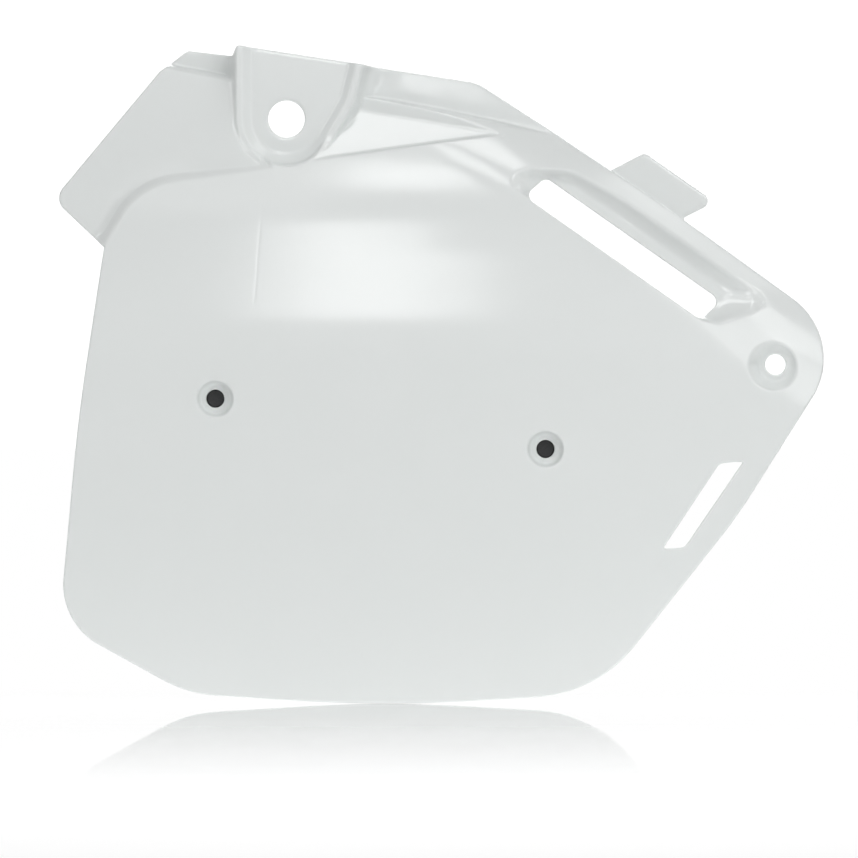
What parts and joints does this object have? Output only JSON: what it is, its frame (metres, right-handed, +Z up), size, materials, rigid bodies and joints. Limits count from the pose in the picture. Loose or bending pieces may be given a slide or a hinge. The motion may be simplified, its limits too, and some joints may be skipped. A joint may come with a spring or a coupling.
{
  "type": "motorbike side panel",
  "caption": "Thin crowned white plastic side panel for an off-road motorbike, with front tongue, recessed mounting pad, slotted rear bar and fastening tab.",
  "frame": {"origin": "centre of the front mounting hole, on the outer face of its pad", "axes": "+X towards the rear of the bike, +Y inboard, +Z up"},
  "size_m": [0.4006, 0.0445, 0.3442],
  "materials": {
    "panel": "semi-gloss cool white polypropylene",
    "plug": "matte black rubber"
  },
  "bodies": {
    "root": {"side_panel": "panel", "front_plug": "plug", "rear_plug": "plug"}
  },
  "joints": []
}
